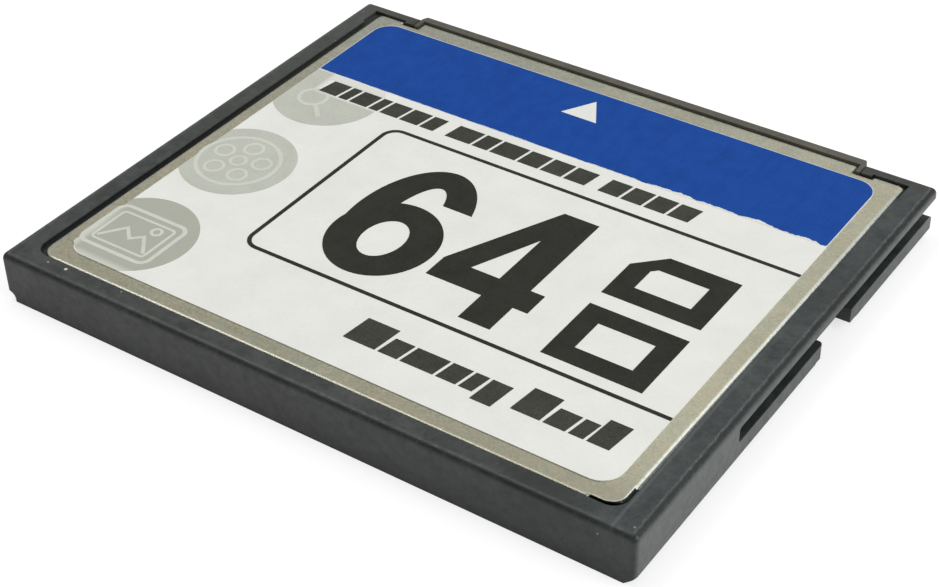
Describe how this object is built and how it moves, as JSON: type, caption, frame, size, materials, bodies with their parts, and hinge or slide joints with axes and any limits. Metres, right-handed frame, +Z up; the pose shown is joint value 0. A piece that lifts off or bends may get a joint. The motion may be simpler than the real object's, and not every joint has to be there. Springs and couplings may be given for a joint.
{
  "type": "compact flash card",
  "caption": "Flat memory card: moulded frame with two sheet covers, guide grooves and key notches down its sides, a two-row pin socket in front and a printed label on top.",
  "frame": {"origin": "centre of the bounding box in plan, on the surface that the card lies on", "axes": "+Z up out of the labelled face, +Y out of the socket in the direction the card goes in, +X across the card"},
  "size_m": [0.0428, 0.0364, 0.0033],
  "materials": {
    "frame": "fine matt grain",
    "socket_plastic": "matt",
    "top_cover": "satin",
    "bottom_cover": "satin",
    "label_film": "soft sheen",
    "blue_print": "soft sheen",
    "grey_print": "soft sheen",
    "black_print": "soft sheen",
    "contact_gold": "plated",
    "board": "solder mask",
    "chip_plastic": "moulded",
    "tinned_metal": "tinned",
    "ceramic": "ceramic",
    "tantalum_block": "moulded",
    "resistor_coat": "coated"
  },
  "bodies": {
    "root": {"frame": "frame", "connector_housing": "socket_plastic", "top_cover": "top_cover", "bottom_cover": "bottom_cover", "label": "label_film", "label_blue_band": "blue_print", "label_grey_discs": "grey_print", "label_black_print": "black_print", "label_numerals": "black_print", "label_sign": "black_print", "upper_contacts": "contact_gold", "lower_contacts": "contact_gold", "circuit_board": "board", "flash_chip_upper": "chip_plastic", "flash_chip_lower": "chip_plastic", "controller_chip": "chip_plastic", "flash_leads_upper": "tinned_metal", "flash_leads_lower": "tinned_metal", "controller_leads": "tinned_metal", "crystal_base": "ceramic", "crystal_lid": "tinned_metal", "regulator": "chip_plastic", "regulator_pins": "tinned_metal", "bulk_capacitor": "tantalum_block", "bulk_capacitor_ends": "tinned_metal", "capacitors": "ceramic", "capacitor_ends": "tinned_metal", "resistors": "resistor_coat", "resistor_ends": "tinned_metal"}
  },
  "joints": []
}
